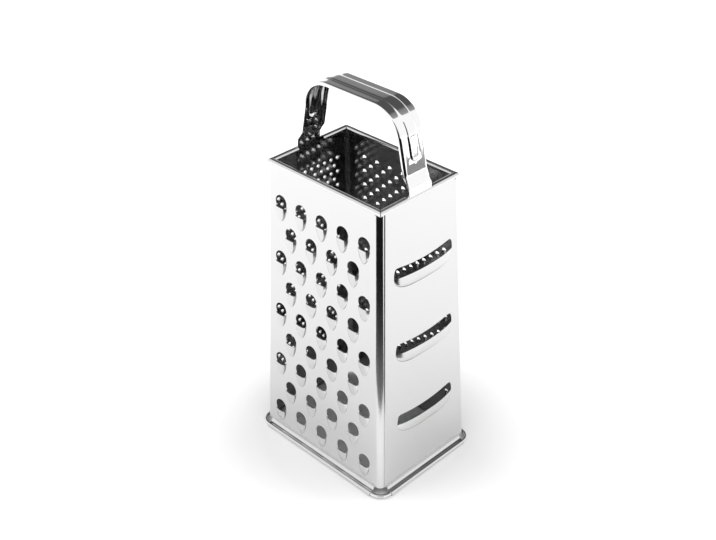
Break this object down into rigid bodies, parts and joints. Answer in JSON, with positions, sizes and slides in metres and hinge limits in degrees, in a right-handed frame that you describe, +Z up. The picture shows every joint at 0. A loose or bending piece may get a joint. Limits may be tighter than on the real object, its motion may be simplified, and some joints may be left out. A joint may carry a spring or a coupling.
{
  "type": "box grater",
  "caption": "Four-sided box grater of folded stainless sheet, with coarse scoops, slicing slots, fine scoops and a rasp face, a wired base and a strap handle.",
  "frame": {"origin": "centre of the resting face at the base", "axes": "+Z up through the handle, -Y out of the coarse face, +X out of the slicing face"},
  "size_m": [0.1102, 0.0842, 0.2359],
  "materials": {
    "wall_steel": "satin",
    "wire_steel": "bright drawn",
    "handle_steel": "satin"
  },
  "bodies": {
    "root": {"coarse_panel": "wall_steel", "slicer_panel": "wall_steel", "fine_panel": "wall_steel", "rasp_panel": "wall_steel", "base_wire": "wire_steel", "handle": "handle_steel"}
  },
  "joints": []
}
